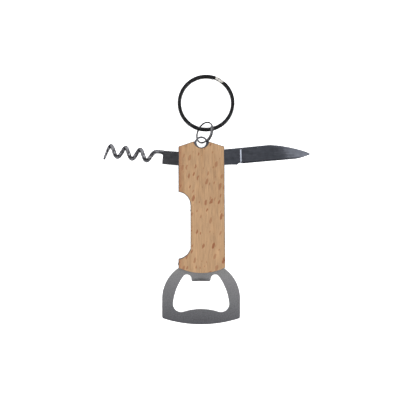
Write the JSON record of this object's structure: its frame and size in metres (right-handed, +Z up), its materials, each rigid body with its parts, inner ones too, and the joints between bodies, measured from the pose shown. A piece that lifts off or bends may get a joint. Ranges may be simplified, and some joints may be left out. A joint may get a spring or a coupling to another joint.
{
  "type": "souvenir bottle opener",
  "caption": "Flat wooden-handled bottle opener with a wide steel cap lifter head, a folding knife, a folding corkscrew and a split key ring.",
  "frame": {"origin": "centre of the handle's rear wood face, which the opener lies on", "axes": "+X to the knife side, +Y to the key ring, +Z up out of the front face"},
  "size_m": [0.1105, 0.1326, 0.0105],
  "materials": {
    "wood": "sanded unfinished beech",
    "satin_steel": "satin",
    "rivet_steel": "satin",
    "polished_steel": "polished",
    "ring_metal": "polished black nickel"
  },
  "bodies": {
    "handle": {"rear_scale": "wood", "rear_liner": "satin_steel", "centre_spring": "satin_steel", "opener_plate": "satin_steel", "front_scale": "wood", "knife_pivot_rivet": "rivet_steel", "corkscrew_pivot_rivet": "rivet_steel", "middle_spring_rivet": "rivet_steel", "lower_spring_rivet": "rivet_steel"},
    "knife": {"knife_blade": "polished_steel"},
    "corkscrew": {"corkscrew": "polished_steel"},
    "jump_ring": {"jump_ring": "ring_metal"},
    "split_ring": {"split_ring": "ring_metal"}
  },
  "joints": [
    {"name": "knife_hinge", "type": "hinge", "parent": "handle", "child": "knife", "pos_m": [0.0082, 0.026, 0.0047], "axis": [0, 0, -1], "range_deg": [0, 95]},
    {"name": "corkscrew_hinge", "type": "hinge", "parent": "handle", "child": "corkscrew", "pos_m": [-0.0081, 0.0233, 0.0047], "axis": [0, 0, 1], "range_deg": [0, 94]},
    {"name": "jump_ring_swing", "type": "hinge", "parent": "handle", "child": "jump_ring", "pos_m": [0.0001, 0.034, 0.0066], "axis": [0, 0, 1], "range_deg": [0, 30]},
    {"name": "split_ring_flip", "type": "hinge", "parent": "jump_ring", "child": "split_ring", "pos_m": [0.0027, 0.0409, 0.0033], "axis": [1, 0, 0], "range_deg": [0, 85]}
  ]
}
